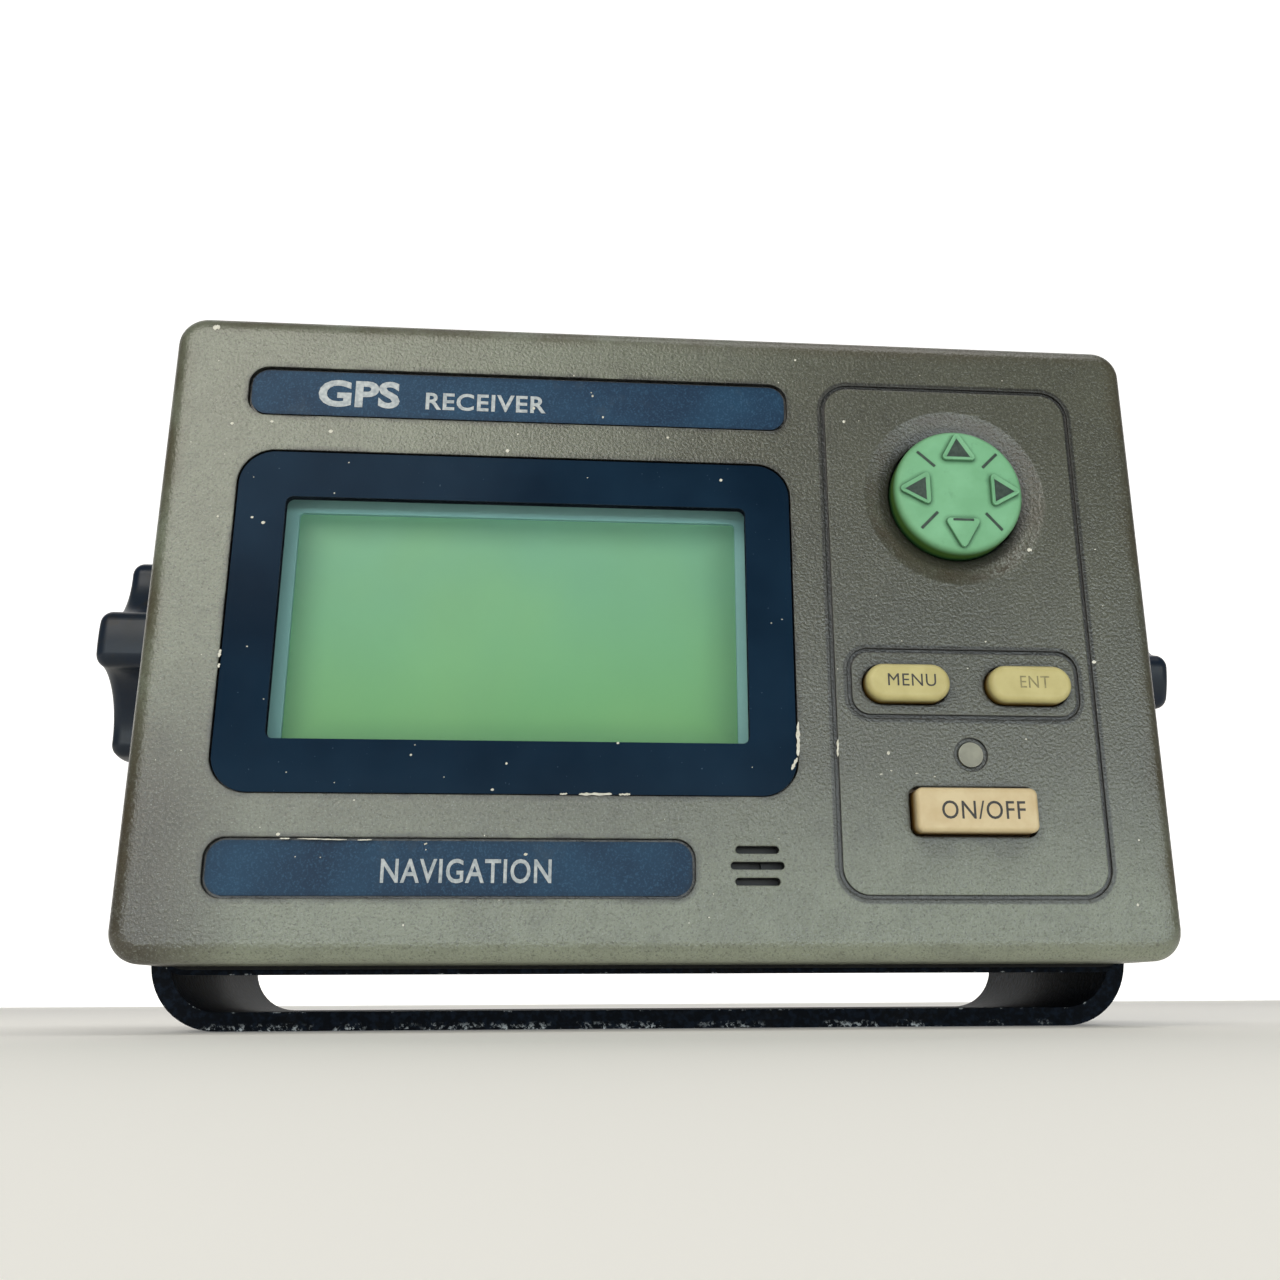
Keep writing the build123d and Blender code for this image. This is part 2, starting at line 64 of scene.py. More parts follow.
cameraSet = {
    "stand": (-0.0161, faceY - 0.2046, 0.0043),  # low in front of the lower edge of the face
    "turn": (107.176, 0.305, -5.133),            # degrees
    "lens": 36.55,
    "shift": (-0.03125, -0.03125),
    "sensor": 36,
    "nearest": 0.005,
}
stageSet = {
    "floorHalf": 4.0,
    "floorColour": "#efece4",
    "floorGlow": 0.12,
    "paintRoughness": 0.9,
    "wallAt": 3.0,                                # white wall behind the unit
    "wallGlow": 0.95,
    "worldColour": "#eef1f4",
    "worldStrength": 0.16,
}
lightSet = {
    # name: (place, aim, width, height, watts, colour)
    "windowLeft": ((-0.42, -1.00, 0.60), (-0.05, -0.05, 0.08), 0.75, 0.50, 5.2, "#fffaf0"),
    "lowFront": ((0.15, -1.05, 0.085), (0.0, -0.05, 0.05), 2.2, 0.20, 6.6, "#effbff"),
    "topFill": ((0.25, -0.35, 1.10), (0.0, 0.0, 0.06), 0.60, 0.60, 2.4, "#ffffff"),
}


def hexToLinear(text):
    channels = [int(text[i:i + 2], 16) / 255 for i in (1, 3, 5)]
    linear = [c / 12.92 if c <= 0.04045 else ((c + 0.055) / 1.055) ** 2.4 for c in channels]
    return (*linear, 1.0)


def addNode(tree, kind, inputs=None, **settings):
    node = tree.nodes.new(kind)
    for name, value in settings.items():
        setattr(node, name, value)
    for socket, value in (inputs or {}).items():
        if isinstance(value, bpy.types.NodeSocket):
            tree.links.new(value, node.inputs[socket])
        else:
            node.inputs[socket].default_value = value
    return node


def addCamera():
    data = bpy.data.cameras.new("camera")
    data.lens = cameraSet["lens"]
    data.sensor_width = cameraSet["sensor"]
    data.shift_x, data.shift_y = cameraSet["shift"]
    data.clip_start = cameraSet["nearest"]
    camera = bpy.data.objects.new("camera", data)
    camera.location = cameraSet["stand"]
    camera.rotation_euler = [math.radians(a) for a in cameraSet["turn"]]
    bpy.context.scene.collection.objects.link(camera)
    bpy.context.scene.camera = camera


def addLights():
    for name, (place, aim, width, height, watts, colour) in lightSet.items():
        data = bpy.data.lights.new(name, "AREA")
        data.shape = "RECTANGLE"
        data.size = width
        data.size_y = height
        data.energy = watts
        data.color = hexToLinear(colour)[:3]
        light = bpy.data.objects.new(name, data)
        light.location = place
        light.rotation_euler = (Vector(aim) - Vector(place)).to_track_quat("-Z", "Y").to_euler()
        bpy.context.scene.collection.objects.link(light)


def addStage():
    world = bpy.data.worlds.new("paleStudio")
    bpy.context.scene.world = world
    world.use_nodes = True
    world.node_tree.nodes["Background"].inputs["Color"].default_value = hexToLinear(stageSet["worldColour"])
    world.node_tree.nodes["Background"].inputs["Strength"].default_value = stageSet["worldStrength"]
    half = stageSet["floorHalf"]
    level = Matrix.Identity(4)
    upright = Matrix.Translation((0, stageSet["wallAt"], half)) @ Matrix.Rotation(math.pi / 2, 4, "X")
    for name, place, glow in (("floor", level, stageSet["floorGlow"]), ("wall", upright, stageSet["wallGlow"])):
        bm = bmesh.new()
        bmesh.ops.create_grid(bm, x_segments=1, y_segments=1, size=half)
        bm.transform(place)
        mesh = bpy.data.meshes.new(name)
        bm.to_mesh(mesh)
        bm.free()
        sheet = bpy.data.objects.new(name, mesh)
        bpy.context.scene.collection.objects.link(sheet)
        material = bpy.data.materials.new(name + "Paint")
        material.use_nodes = True
        shader = material.node_tree.nodes["Principled BSDF"]
        shader.inputs["Base Color"].default_value = hexToLinear(stageSet["floorColour"])
        shader.inputs["Roughness"].default_value = stageSet["paintRoughness"]
        shader.inputs["Emission Color"].default_value = (1.0, 1.0, 1.0, 1.0)
        shader.inputs["Emission Strength"].default_value = glow
        mesh.materials.append(material)


addCamera()
addLights()
addStage()
bpy.context.scene.view_settings.view_transform = "Standard"
print("camera, lights and floor ready")


def newMaterial(name, roughness, metallic=0.0, ior=1.5, gloss=0.5):
    material = bpy.data.materials.new(name)
    material.use_nodes = True
    tree = material.node_tree
    shader = tree.nodes["Principled BSDF"]
    shader.inputs["Roughness"].default_value = roughness
    shader.inputs["Metallic"].default_value = metallic
    if metallic < 0.5:
        shader.inputs["IOR"].default_value = ior
        shader.inputs["Specular IOR Level"].default_value = gloss
    return material, tree, shader


def blendColours(tree, factor, first, second):
    # first and second are hex values or colour sockets
    inputs = {"Factor": factor}
    for socket, value in ((6, first), (7, second)):
        inputs[socket] = hexToLinear(value) if isinstance(value, str) else value
    return addNode(tree, "ShaderNodeMix", inputs, data_type="RGBA").outputs[2]


def stepped(tree, value, low, high):
    # 0 below low, 1 above high, or the other way round when low is the larger
    node = addNode(tree, "ShaderNodeMapRange", {"Value": value, "From Min": low, "From Max": high})
    return node.outputs["Result"]


def times(tree, first, second):
    return addNode(tree, "ShaderNodeMath", {0: first, 1: second}, operation="MULTIPLY").outputs[0]


def scaledPlus(tree, value, factor, added):
    inputs = {0: value, 1: factor, 2: added}
    return addNode(tree, "ShaderNodeMath", inputs, operation="MULTIPLY_ADD").outputs["Value"]


def ranged(tree, value, low, high):
    # a value from 0 to 1 turned into one from low to high
    return addNode(tree, "ShaderNodeMapRange", {"Value": value, "To Min": low, "To Max": high}).outputs["Result"]


def objectPlace(tree):
    return addNode(tree, "ShaderNodeTexCoord").outputs["Object"]


def axisOf(tree, place, axis):
    return addNode(tree, "ShaderNodeSeparateXYZ", {0: place}).outputs[axis]


def shelter(tree, reachMm, samples=6):
    # 1 in the open, falling towards 0 in corners within reachMm
    inputs = {"Distance": reachMm * mm}
    return addNode(tree, "ShaderNodeAmbientOcclusion", inputs, samples=samples).outputs["AO"]


def grain(tree, place, sizeMm, detail=3.0, roughness=0.55):
    # noise whose features are about sizeMm across
    inputs = {"Vector": place, "Scale": 1 / (sizeMm * mm), "Detail": detail, "Roughness": roughness}
    return addNode(tree, "ShaderNodeTexNoise", inputs).outputs["Fac"]


def faceDistance(tree, place, mid, extent, corner):
    # signed distance in millimetres from a rounded rectangle on the face, negative inside
    flat = addNode(tree, "ShaderNodeVectorMath", {0: place, 1: (1, 0, 1)}, operation="MULTIPLY").outputs[0]
    centred = addNode(tree, "ShaderNodeVectorMath", {0: flat, 1: (mid[0], 0, mid[1])}, operation="SUBTRACT")
    folded = addNode(tree, "ShaderNodeVectorMath", {0: centred.outputs[0]}, operation="ABSOLUTE").outputs[0]
    half = (extent[0] / 2 - corner, 0, extent[1] / 2 - corner)
    past = addNode(tree, "ShaderNodeVectorMath", {0: folded, 1: half}, operation="SUBTRACT").outputs[0]
    outside = addNode(tree, "ShaderNodeVectorMath", {0: past, 1: (0, 0, 0)}, operation="MAXIMUM").outputs[0]
    reach = addNode(tree, "ShaderNodeVectorMath", {0: outside}, operation="LENGTH").outputs["Value"]
    wider, taller = axisOf(tree, past, "X"), axisOf(tree, past, "Z")
    deeper = addNode(tree, "ShaderNodeMath", {0: wider, 1: taller}, operation="MAXIMUM")
    inside = addNode(tree, "ShaderNodeMath", {0: deeper.outputs[0], 1: 0.0}, operation="MINIMUM").outputs[0]
    total = addNode(tree, "ShaderNodeMath", {0: reach, 1: inside}, operation="ADD").outputs[0]
    shifted = addNode(tree, "ShaderNodeMath", {0: total, 1: corner}, operation="SUBTRACT").outputs[0]
    return addNode(tree, "ShaderNodeMath", {0: shifted, 1: 1 / mm}, operation="MULTIPLY").outputs[0]


def edgeMask(tree, radiusMm):
    # 1 on the sharp and rounded edges of the mesh, 0 on its flats
    soft = addNode(tree, "ShaderNodeBevel", {"Radius": radiusMm * mm}, samples=6).outputs["Normal"]
    true = addNode(tree, "ShaderNodeNewGeometry").outputs["Normal"]
    same = addNode(tree, "ShaderNodeVectorMath", {0: soft, 1: true}, operation="DOT_PRODUCT").outputs["Value"]
    return stepped(tree, same, 0.985, 0.80)


def setBump(tree, shader, height, depthMm, strength=1.0, normal=None):
    inputs = {"Height": height, "Distance": depthMm * mm, "Strength": strength}
    if normal is not None:
        inputs["Normal"] = normal
    bump = addNode(tree, "ShaderNodeBump", inputs)
    tree.links.new(bump.outputs["Normal"], shader.inputs["Normal"])


lensMid = middle("display_lens")
printEdge = {"mid": (lensMid.x + 0.15 * mm, lensMid.z + 0.25 * mm), "extent": (76.4 * mm, 40.5 * mm)}
lcdOpening = {"mid": (lensMid.x + 0.2 * mm, lensMid.z - 0.5 * mm), "extent": (74.15 * mm, 40.7 * mm)}


def nodeOutline(node, grow=0.0):
    # middle, size on the face of a node's box, grown all round
    mid = middle(node)
    extent = size(node)
    return (mid.x, mid.z), (extent.x + 2 * grow, extent.z + 2 * grow)


def circleDistance(tree, place, mid, radiusMm):
    # signed distance in millimetres from a circle on the face
    radius = radiusMm * mm
    return faceDistance(tree, place, mid, (2 * radius, 2 * radius), radius - 0.01 * mm)


def between(tree, value, low, high, soft):
    # 1 from low to high, fading over soft on both sides
    return times(tree, stepped(tree, value, low - soft, low), stepped(tree, value, high + soft, high))


# the two lines scored round the keys: middle, size and corner radius of each
grooveLines = [((49.75 * mm, 63.75 * mm), (44.5 * mm, 88.7 * mm), 5 * mm),
               ((49.8 * mm, 54.25 * mm), (39.2 * mm, 11.8 * mm), 3.6 * mm)]


# where the face has worn and where sheen is painted on it, in millimetres in the frame unless noted
wearAndSheenSet = {
    "cornerSlant": -0.9,           # upper left corner: how much its fade falls from left to right, no unit
    "cornerFade": (92, 142),
    "cornerRagged": 22,
    "cornerStrength": 0.8,         # no unit
    "bandFade": (34, 10),          # lower band, from its ragged top down
    "bandRagged": -14,
    "bandLeft": (-82, -62),
    "bareSheenFade": (13.5, 10.5),      # lowest edge, rubbed bare and painted with sheen
    "thumbAcross": (-64, -78),     # lower left, sweat and grease
    "thumbUp": (52, 34),
    "brownAbove": (11, 22),        # brown outline starts above this height
    "dishRadius": 14.6,
    "grooveWidth": 0.5,
    "grooveSoft": 0.3,
}


def fadeMm(tree, value, ends):
    return stepped(tree, value, ends[0] * mm, ends[1] * mm)


def sandTextureAbs():
    # moulded ABS with a spark-eroded sand texture, handled for years: matt olive grey, browner towards the
    # outer edges, paler on the lower band and the upper left (partly chalked, partly painted sheen), painted
    # glints on the grain, dark grime and painted shade in every recess, pale polish and a painted highlight on
    # the rim of the dish
    material, tree, shader = newMaterial("sandTextureAbs", 0.36, ior=1.54, gloss=0.75)
    look = {"base": "#424236", "light": "#4c4c3e", "dark": "#2f2e24", "edge": "#40361f", "grime": "#110f0a",
            "smudge": "#27241b", "fleck": "#6f7163", "glintPale": "#8b8f88", "brownRim": "#3a3122",
            "chalkSheen": "#686d5b", "chalkSheenLight": "#787e6b", "bareSheenEdge": "#989d88", "sweat": "#373020"}
    place = objectPlace(tree)
    cloud = grain(tree, place, 38, 4)
    colour = blendColours(tree, stepped(tree, cloud, 0.38, 0.62), look["base"], look["light"])
    blotch = grain(tree, place, 9, 5, 0.65)
    across, height = axisOf(tree, place, "X"), axisOf(tree, place, "Z")
    # the lower band and the upper left are paler: partly chalked by sun and dry cloths, partly painted sheen;
    # hands have kept the rest dark
    slant = scaledPlus(tree, across, wearAndSheenSet["cornerSlant"], height)
    ragged = scaledPlus(tree, cloud, wearAndSheenSet["cornerRagged"] * mm, slant)
    upperLeftSheen = times(tree, fadeMm(tree, ragged, wearAndSheenSet["cornerFade"]), wearAndSheenSet["cornerStrength"])
    lowEdge = scaledPlus(tree, cloud, wearAndSheenSet["bandRagged"] * mm, height)
    lowSheenBand = times(tree, fadeMm(tree, lowEdge, wearAndSheenSet["bandFade"]), fadeMm(tree, across, wearAndSheenSet["bandLeft"]))
    chalkySheen = blendColours(tree, stepped(tree, blotch, 0.40, 0.60), look["chalkSheen"], look["chalkSheenLight"])
    colour = blendColours(tree, upperLeftSheen, colour, chalkySheen)
    colour = blendColours(tree, lowSheenBand, colour, chalkySheen)
    # painted sheen along the lowest edge, where it is also rubbed bare
    bare = fadeMm(tree, height, wearAndSheenSet["bareSheenFade"])
    colour = blendColours(tree, times(tree, bare, 0.75), colour, look["bareSheenEdge"])
    thumb = times(tree, fadeMm(tree, across, wearAndSheenSet["thumbAcross"]), fadeMm(tree, height, wearAndSheenSet["thumbUp"]))
    colour = blendColours(tree, times(tree, thumb, 0.95), colour, look["sweat"])
    colour = blendColours(tree, times(tree, stepped(tree, blotch, 0.52, 0.72), 0.40), colour, look["dark"])
    grit = grain(tree, place, 0.50, 2)
    fine = grain(tree, place, 0.26, 1)
    colour = blendColours(tree, times(tree, stepped(tree, grit, 0.54, 0.68), 0.5), colour, look["fleck"])
    colour = blendColours(tree, times(tree, stepped(tree, grit, 0.47, 0.33), 0.32), colour, look["dark"])
    # painted glints: pale points on the fine grain where the sheen catches
    sparkle = stepped(tree, fine, 0.62, 0.72)
    colour = blendColours(tree, times(tree, sparkle, 0.6), colour, look["glintPale"])
    pits = stepped(tree, grain(tree, place, 0.34, 1), 0.40, 0.30)
    colour = blendColours(tree, times(tree, pits, 0.5), colour, look["dark"])
    # browner along the outline of the face
    rim = faceDistance(tree, place, (faceMid.x, faceMid.z), faceSize, 5 * mm)
    edge = times(tree, stepped(tree, rim, -4.6, -0.8), stepped(tree, grain(tree, place, 14, 3), 0.34, 0.58))
    edge = times(tree, edge, fadeMm(tree, height, wearAndSheenSet["brownAbove"]))
    colour = blendColours(tree, times(tree, edge, 0.8), colour, look["edge"])
    # grime against each recess and opening, then darker lines along the two grooves
    outlines = [(*nodeOutline("display_lens", 0.25 * mm), 6 * mm),
                (*nodeOutline("upper_label", 0.45 * mm), 3.2 * mm),
                (*nodeOutline("lower_label", 0.45 * mm), 3.2 * mm)]
    patchy = stepped(tree, grain(tree, place, 5, 4), 0.30, 0.62)
    for mid, extent, corner in outlines:
        gap = faceDistance(tree, place, mid, extent, corner)
        darkened = times(tree, stepped(tree, gap, 1.0, 0.05), times(tree, patchy, 0.85))
        colour = blendColours(tree, darkened, colour, look["grime"])
    reach, soft = wearAndSheenSet["grooveWidth"], wearAndSheenSet["grooveSoft"]
    for mid, extent, corner in grooveLines:
        gap = faceDistance(tree, place, mid, extent, corner)
        darkened = times(tree, between(tree, gap, -reach, reach, soft), 0.8)
        colour = blendColours(tree, darkened, colour, look["grime"])
    # rings left by fingers round the dish, darkened further inside as painted shade, and paler at its lower
    # right: polish and a painted highlight
    padMid = middle("direction_pad")
    ring = circleDistance(tree, place, (padMid.x, padMid.z), wearAndSheenSet["dishRadius"])
    colour = blendColours(tree, times(tree, between(tree, ring, -3.4, -1.6, 1.0), 0.85), colour, look["smudge"])
    brown = times(tree, between(tree, ring, -0.7, 0.6, 0.9), times(tree, patchy, 0.8))
    colour = blendColours(tree, brown, colour, look["brownRim"])
    lowRight = times(tree, stepped(tree, across, padMid.x + 1 * mm, padMid.x + 7 * mm),
                     stepped(tree, height, padMid.z - 3 * mm, padMid.z - 9 * mm))
    # painted highlight on the lower right of the dish, with real polish
    band = times(tree, between(tree, ring, -0.8, 0.9, 1.0), times(tree, lowRight, 0.75))
    rubbed = times(tree, band, stepped(tree, grain(tree, place, 0.42, 4, 0.7), 0.46, 0.64))
    colour = blendColours(tree, rubbed, colour, look["glintPale"])
    # finger grease under the power key
    keyMid = middle("power_key")
    under = faceDistance(tree, place, (keyMid.x, keyMid.z - 1.5 * mm), (17 * mm, 8 * mm), 3 * mm)
    greasy = times(tree, stepped(tree, under, 3.0, -0.5), times(tree, patchy, 0.7))
    colour = blendColours(tree, greasy, colour, look["smudge"])
    # painted shade: darker where corners and recesses shelter the surface
    colour = blendColours(tree, stepped(tree, shelter(tree, 1.6), 0.92, 0.58), colour, look["grime"])
    tree.links.new(colour, shader.inputs["Base Color"])
    tree.links.new(ranged(tree, blotch, 0.24, 0.35), shader.inputs["Roughness"])
    softened = addNode(tree, "ShaderNodeBevel", {"Radius": 0.35 * mm}, samples=4).outputs["Normal"]
    setBump(tree, shader, grit, 0.12, 1.0, softened)
    return material


def texturedNavyPaint(name, chipped):
    # navy textured powder coat on aluminium: fine orange-peel lumps, bare metal where edges are knocked
    material, tree, shader = newMaterial(name, 0.56, ior=1.5, gloss=0.05)
    look = {"base": "#0a0e14", "lump": "#151d28", "dust": "#2a2418", "bare": "#c3c8ca"}
    place = objectPlace(tree)
    lumps = grain(tree, place, 0.9, 3)
    colour = blendColours(tree, stepped(tree, lumps, 0.45, 0.65), look["base"], look["lump"])
    dust = times(tree, stepped(tree, grain(tree, place, 16, 5, 0.7), 0.54, 0.75), 0.30)
    colour = blendColours(tree, dust, colour, look["dust"])
    knocked = stepped(tree, grain(tree, place, 1.3, 4, 0.7), 0.60, 0.66)
    chips = times(tree, edgeMask(tree, 0.5), knocked)
    colour = blendColours(tree, chips, colour, look["bare"])
    if chipped:
        # paint scuffed off the lowest edge by the table
        low = stepped(tree, axisOf(tree, place, "Z"), 1.3 * mm, 0.2 * mm)
        runs = times(tree, stepped(tree, grain(tree, place, 5, 2), 0.46, 0.56),
                     stepped(tree, grain(tree, place, 0.8, 4, 0.8), 0.54, 0.60))
        colour = blendColours(tree, times(tree, low, runs), colour, look["bare"])
    tree.links.new(colour, shader.inputs["Base Color"])
    setBump(tree, shader, lumps, 0.25, 0.9)
    return material


def starKnobPhenolic():
    # compression-moulded phenolic, semi-gloss: navy, dulled and greyed by hand grease in the hollows
    material, tree, shader = newMaterial("starKnobPhenolic", 0.30, ior=1.6, gloss=0.22)
    look = {"base": "#131f2e", "dull": "#1d252e", "rubbed": "#6b6f70", "grime": "#2a251b"}
    place = objectPlace(tree)
    cloud = grain(tree, place, 7, 4)
    colour = blendColours(tree, stepped(tree, cloud, 0.42, 0.66), look["base"], look["dull"])
    worn = times(tree, stepped(tree, grain(tree, place, 4, 4, 0.7), 0.55, 0.72), 0.6)
    colour = blendColours(tree, worn, colour, look["grime"])
    handled = times(tree, edgeMask(tree, 0.7), stepped(tree, grain(tree, place, 2.2, 4), 0.50, 0.68))
    colour = blendColours(tree, times(tree, handled, 0.6), colour, look["rubbed"])
    tree.links.new(colour, shader.inputs["Base Color"])
    tree.links.new(ranged(tree, cloud, 0.22, 0.44), shader.inputs["Roughness"])
    setBump(tree, shader, grain(tree, place, 0.5, 2), 0.02, 0.5)
    return material


def windowAcrylic():
    # cast acrylic window, polished, its border printed navy on the back: an even dark border that looks as
    # flush as the front face, with fine scratches and dust over the whole
    material, tree, shader = newMaterial("windowAcrylic", 0.14, ior=1.49, gloss=0.03)
    place = objectPlace(tree)
    printed = faceDistance(tree, place, printEdge["mid"], printEdge["extent"], 1.2 * mm)
    border = stepped(tree, printed, -0.06, 0.06)
    cloud = grain(tree, place, 26, 3)
    ink = blendColours(tree, stepped(tree, cloud, 0.35, 0.68), "#0f2030", "#182c3e")
    speck = stepped(tree, grain(tree, place, 0.45, 1), 0.76, 0.80)
    ink = blendColours(tree, times(tree, speck, 0.5), ink, "#5d7184")
    haze = grain(tree, place, 12, 5, 0.6)
    colour = blendColours(tree, border, blendColours(tree, haze, "#2a3a48", "#54656f"), ink)
    tree.links.new(colour, shader.inputs["Base Color"])
    veil = ranged(tree, haze, 0.03, 0.09)
    alpha = addNode(tree, "ShaderNodeMath", {0: veil, 1: border}, operation="MAXIMUM").outputs[0]
    tree.links.new(alpha, shader.inputs["Alpha"])
    tree.links.new(ranged(tree, grain(tree, place, 3, 4), 0.10, 0.26), shader.inputs["Roughness"])
    return material


def navyScreenInk():
    # screen-printed ink seen through the window: even dark navy, slightly greener where the print is thin
    material, tree, shader = newMaterial("navyScreenInk", 0.35, ior=1.49)
    place = objectPlace(tree)
    thin = grain(tree, place, 22, 3)
    colour = blendColours(tree, stepped(tree, thin, 0.35, 0.65), "#132233", "#1b2f41")
    speckle = stepped(tree, grain(tree, place, 0.8, 2), 0.66, 0.74)
    colour = blendColours(tree, times(tree, speckle, 0.25), colour, "#35506a")
    tree.links.new(colour, shader.inputs["Base Color"])
    setBump(tree, shader, thin, 0.02, 0.3)
    return material


def liquidCrystal():
    # reflective display glass, switched off: pale green, bluer at the top, yellower low down, shaded at
    # the frame
    material, tree, shader = newMaterial("liquidCrystal", 0.35, ior=1.52, gloss=0.2)
    place = objectPlace(tree)
    mid = lcdOpening["mid"]
    upward = stepped(tree, axisOf(tree, place, "Z"), mid[1] - 16 * mm, mid[1] + 19 * mm)
    colour = blendColours(tree, upward, "#7ab877", "#82bc9b")
    cloud = stepped(tree, grain(tree, place, 26, 2), 0.35, 0.7)
    colour = blendColours(tree, times(tree, cloud, 0.35), colour, "#8abf7f")
    border = faceDistance(tree, place, mid, lcdOpening["extent"], 1 * mm)
    colour = blendColours(tree, times(tree, stepped(tree, border, -6.0, 0.5), 0.42), colour, "#4b7d62")
    dots = grain(tree, place, 0.5, 1)
    colour = blendColours(tree, times(tree, dots, 0.05), colour, "#4f8a63")
    tree.links.new(colour, shader.inputs["Base Color"])
    return material


def displayBezelTin():
    # frame of the display module, pale grey-green: painted light that comes off the glass
    material, tree, shader = newMaterial("displayBezelTin", 0.5, ior=1.5, gloss=0.2)
    place = objectPlace(tree)
    cloud = grain(tree, place, 12, 3)
    tree.links.new(blendColours(tree, cloud, "#8bc0bb", "#98ccc7"), shader.inputs["Base Color"])
    setBump(tree, shader, grain(tree, place, 0.4, 2), 0.02, 0.4)
    return material


def printedLabelFilm():
    # polycarbonate film printed navy on the back, velvet face: fine sparkle, pale scuffs, painted shade at the
    # corners of its recess
    material, tree, shader = newMaterial("printedLabelFilm", 0.42, ior=1.58, gloss=0.14)
    place = objectPlace(tree)
    velvet = grain(tree, place, 0.30, 2)
    cloud = grain(tree, place, 14, 4)
    fresh = blendColours(tree, stepped(tree, cloud, 0.36, 0.66), "#162f47", "#1e3f59")
    colour = blendColours(tree, times(tree, stepped(tree, velvet, 0.52, 0.68), 0.5), fresh, "#375b77")
    scuff = times(tree, stepped(tree, grain(tree, place, 6, 5, 0.7), 0.58, 0.74), 0.4)
    colour = blendColours(tree, scuff, colour, "#3b4b59")
    # painted shade where the film meets the wall of its recess
    colour = blendColours(tree, stepped(tree, shelter(tree, 1.2, 5), 0.90, 0.55), colour, "#0c1219")
    tree.links.new(colour, shader.inputs["Base Color"])
    setBump(tree, shader, velvet, 0.05, 0.6)
    return material


def mintRubber():
    # moulded silicone rubber, mint green: soft satin, grey finger marks, painted shade making its wall darker
    # green and its creases darker still
    material, tree, shader = newMaterial("mintRubber", 0.50, ior=1.43, gloss=0.35)
    place = objectPlace(tree)
    cloud = grain(tree, place, 6, 4)
    colour = blendColours(tree, stepped(tree, cloud, 0.36, 0.66), "#72a97f", "#7db58b")
    marks = stepped(tree, grain(tree, place, 2.0, 5, 0.75), 0.60, 0.74)
    colour = blendColours(tree, times(tree, marks, 0.32), colour, "#4f7a60")
    # painted shade: darker green on the wall of the pad
    wall = stepped(tree, axisOf(tree, place, "Y"), faceY - 2.9 * mm, faceY - 1.0 * mm)
    colour = blendColours(tree, wall, colour, "#3f6420")
    # painted shade in the creases at its foot
    paintedCreaseShade = times(tree, stepped(tree, shelter(tree, 0.9), 0.95, 0.60), 0.85)
    colour = blendColours(tree, paintedCreaseShade, colour, "#254a2e")
    tree.links.new(colour, shader.inputs["Base Color"])
    setBump(tree, shader, grain(tree, place, 0.35, 2), 0.015, 0.5)
    return material


def yellowedKey(name, top, shade, wallShadeColour):
    # moulded ABS key, yellowed by age: waxy face, its wall browner and darker as painted shade, darker again in
    # the creases at its foot as painted shade
    material, tree, shader = newMaterial(name, 0.40, ior=1.54, gloss=0.35)
    place = objectPlace(tree)
    cloud = grain(tree, place, 4, 4)
    colour = blendColours(tree, stepped(tree, cloud, 0.36, 0.66), top, shade)
    # painted shade: browner down the wall of the key
    wall = stepped(tree, axisOf(tree, place, "Y"), faceY - 1.9 * mm, faceY - 0.3 * mm)
    colour = blendColours(tree, wall, colour, wallShadeColour)
    # painted shade in the creases at its foot
    paintedCreaseShade = times(tree, stepped(tree, shelter(tree, 1.4), 0.62, 0.30), 0.7)
    colour = blendColours(tree, paintedCreaseShade, colour, "#4a3616")
    tree.links.new(colour, shader.inputs["Base Color"])
    setBump(tree, shader, grain(tree, place, 0.6, 3), 0.02, 0.5)
    return material


def plainFinish(name, first, second, roughness, metallic=0.0, featureMm=4.0, bumpMm=0.02, ior=1.5):
    # a finish with two close shades in clouds and a fine surface, for the pieces inside and the fasteners
    material, tree, shader = newMaterial(name, roughness, metallic, ior)
    place = objectPlace(tree)
    cloud = grain(tree, place, featureMm, 4)
    colour = blendColours(tree, stepped(tree, cloud, 0.35, 0.68), first, second)
    tree.links.new(colour, shader.inputs["Base Color"])
    setBump(tree, shader, grain(tree, place, featureMm / 8, 3), bumpMm, 0.5)
    return material


